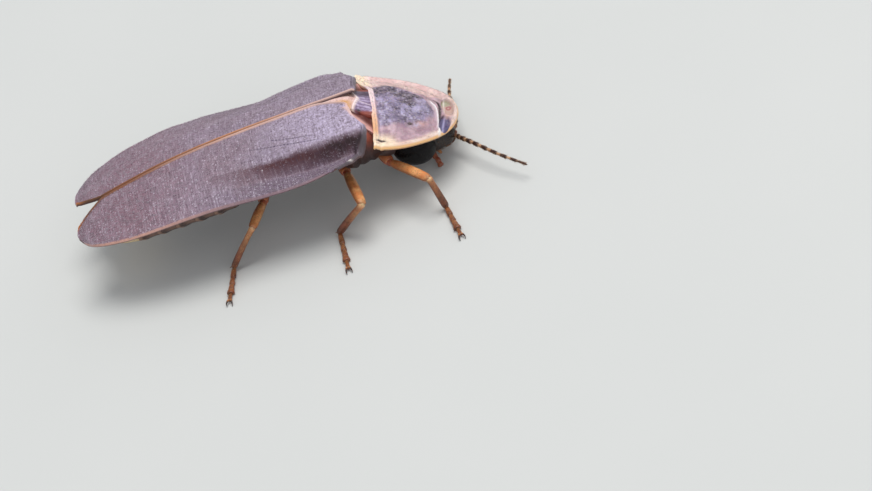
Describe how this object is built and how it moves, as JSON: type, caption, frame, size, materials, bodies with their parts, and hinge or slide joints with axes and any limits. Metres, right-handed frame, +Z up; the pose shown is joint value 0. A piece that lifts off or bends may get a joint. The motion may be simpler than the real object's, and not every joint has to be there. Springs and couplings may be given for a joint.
{
  "type": "winged male firefly",
  "caption": "Life-size still model of a winged male firefly standing on its feet, wing cases closed over the back and head under its neck shield.",
  "frame": {"origin": "middle of the outline seen from above, on the plane that the feet stand on", "axes": "+X towards the head, +Y to the beetle's left, +Z up from the floor"},
  "size_m": [0.0135, 0.0087, 0.0034],
  "materials": {
    "body": "dark brown chitin",
    "light_organ": "pale cream-yellow where the light organ lies",
    "feeler": "dark brown, pale at each joint",
    "elytron": "matt lilac-brown, finely grained and haired, with tan seam bead and rim",
    "eye": "glossy black, finely faceted",
    "leg": "orange-brown chitin with fine hairs",
    "head": "near-black brown",
    "pronotum": "pinkish cream rims round a dark lilac disc",
    "scutellum": "violet-grey plate with pale ridges"
  },
  "bodies": {
    "root": {"abdomen": "body", "abdomen_tip": "light_organ", "antenna_left": "feeler", "antenna_right": "feeler", "elytron_left": "elytron", "elytron_right": "elytron", "eye_left": "eye", "eye_right": "eye", "front_leg_left": "leg", "front_leg_right": "leg", "head": "head", "hind_leg_left": "leg", "hind_leg_right": "leg", "mid_leg_left": "leg", "mid_leg_right": "leg", "pronotum": "pronotum", "prothorax": "body", "scutellum": "scutellum", "thorax": "body"}
  },
  "joints": []
}
